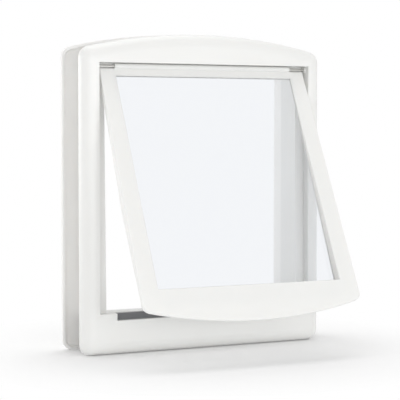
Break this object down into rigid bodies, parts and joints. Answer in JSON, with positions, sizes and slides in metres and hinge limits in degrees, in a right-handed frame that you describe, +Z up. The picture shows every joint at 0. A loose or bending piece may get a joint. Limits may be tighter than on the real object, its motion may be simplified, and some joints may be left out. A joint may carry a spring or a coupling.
{
  "type": "cat flap",
  "caption": "White plastic cat flap: arched outer frame with a liner, telescoping inner frame, and a top-hung flap with a clear panel that swings outwards.",
  "frame": {"origin": "middle of the outer frame's lower edge, in the plane of its door face", "axes": "+X to the right seen from outside, +Y from the outside into the door, +Z up"},
  "size_m": [0.2008, 0.1308, 0.2374],
  "materials": {
    "white_plastic": "satin moulded ABS",
    "clear_plastic": "clear polycarbonate sheet",
    "steel": "zinc plated",
    "nylon": "natural nylon",
    "magnet": "rubber-bonded magnet strip"
  },
  "bodies": {
    "frame": {"outer_frame": "white_plastic", "inner_frame": "white_plastic", "sill_magnet": "magnet", "hinge_bush_left": "nylon", "hinge_bush_right": "nylon", "frame_screw_1": "steel", "frame_screw_2": "steel", "frame_screw_3": "steel", "frame_screw_4": "steel", "screw_cap_1": "white_plastic", "screw_cap_2": "white_plastic", "screw_cap_3": "white_plastic", "screw_cap_4": "white_plastic"},
    "flap": {"flap_frame": "white_plastic", "flap_panel": "clear_plastic", "flap_back_frame": "white_plastic", "hinge_rod": "steel", "flap_magnet": "magnet"}
  },
  "joints": [
    {"name": "flap_hinge", "type": "hinge", "parent": "frame", "child": "flap", "pos_m": [0, -0.00425, 0.2111], "axis": [-1, 0, 0], "range_deg": [-23.3, 53.4]}
  ]
}
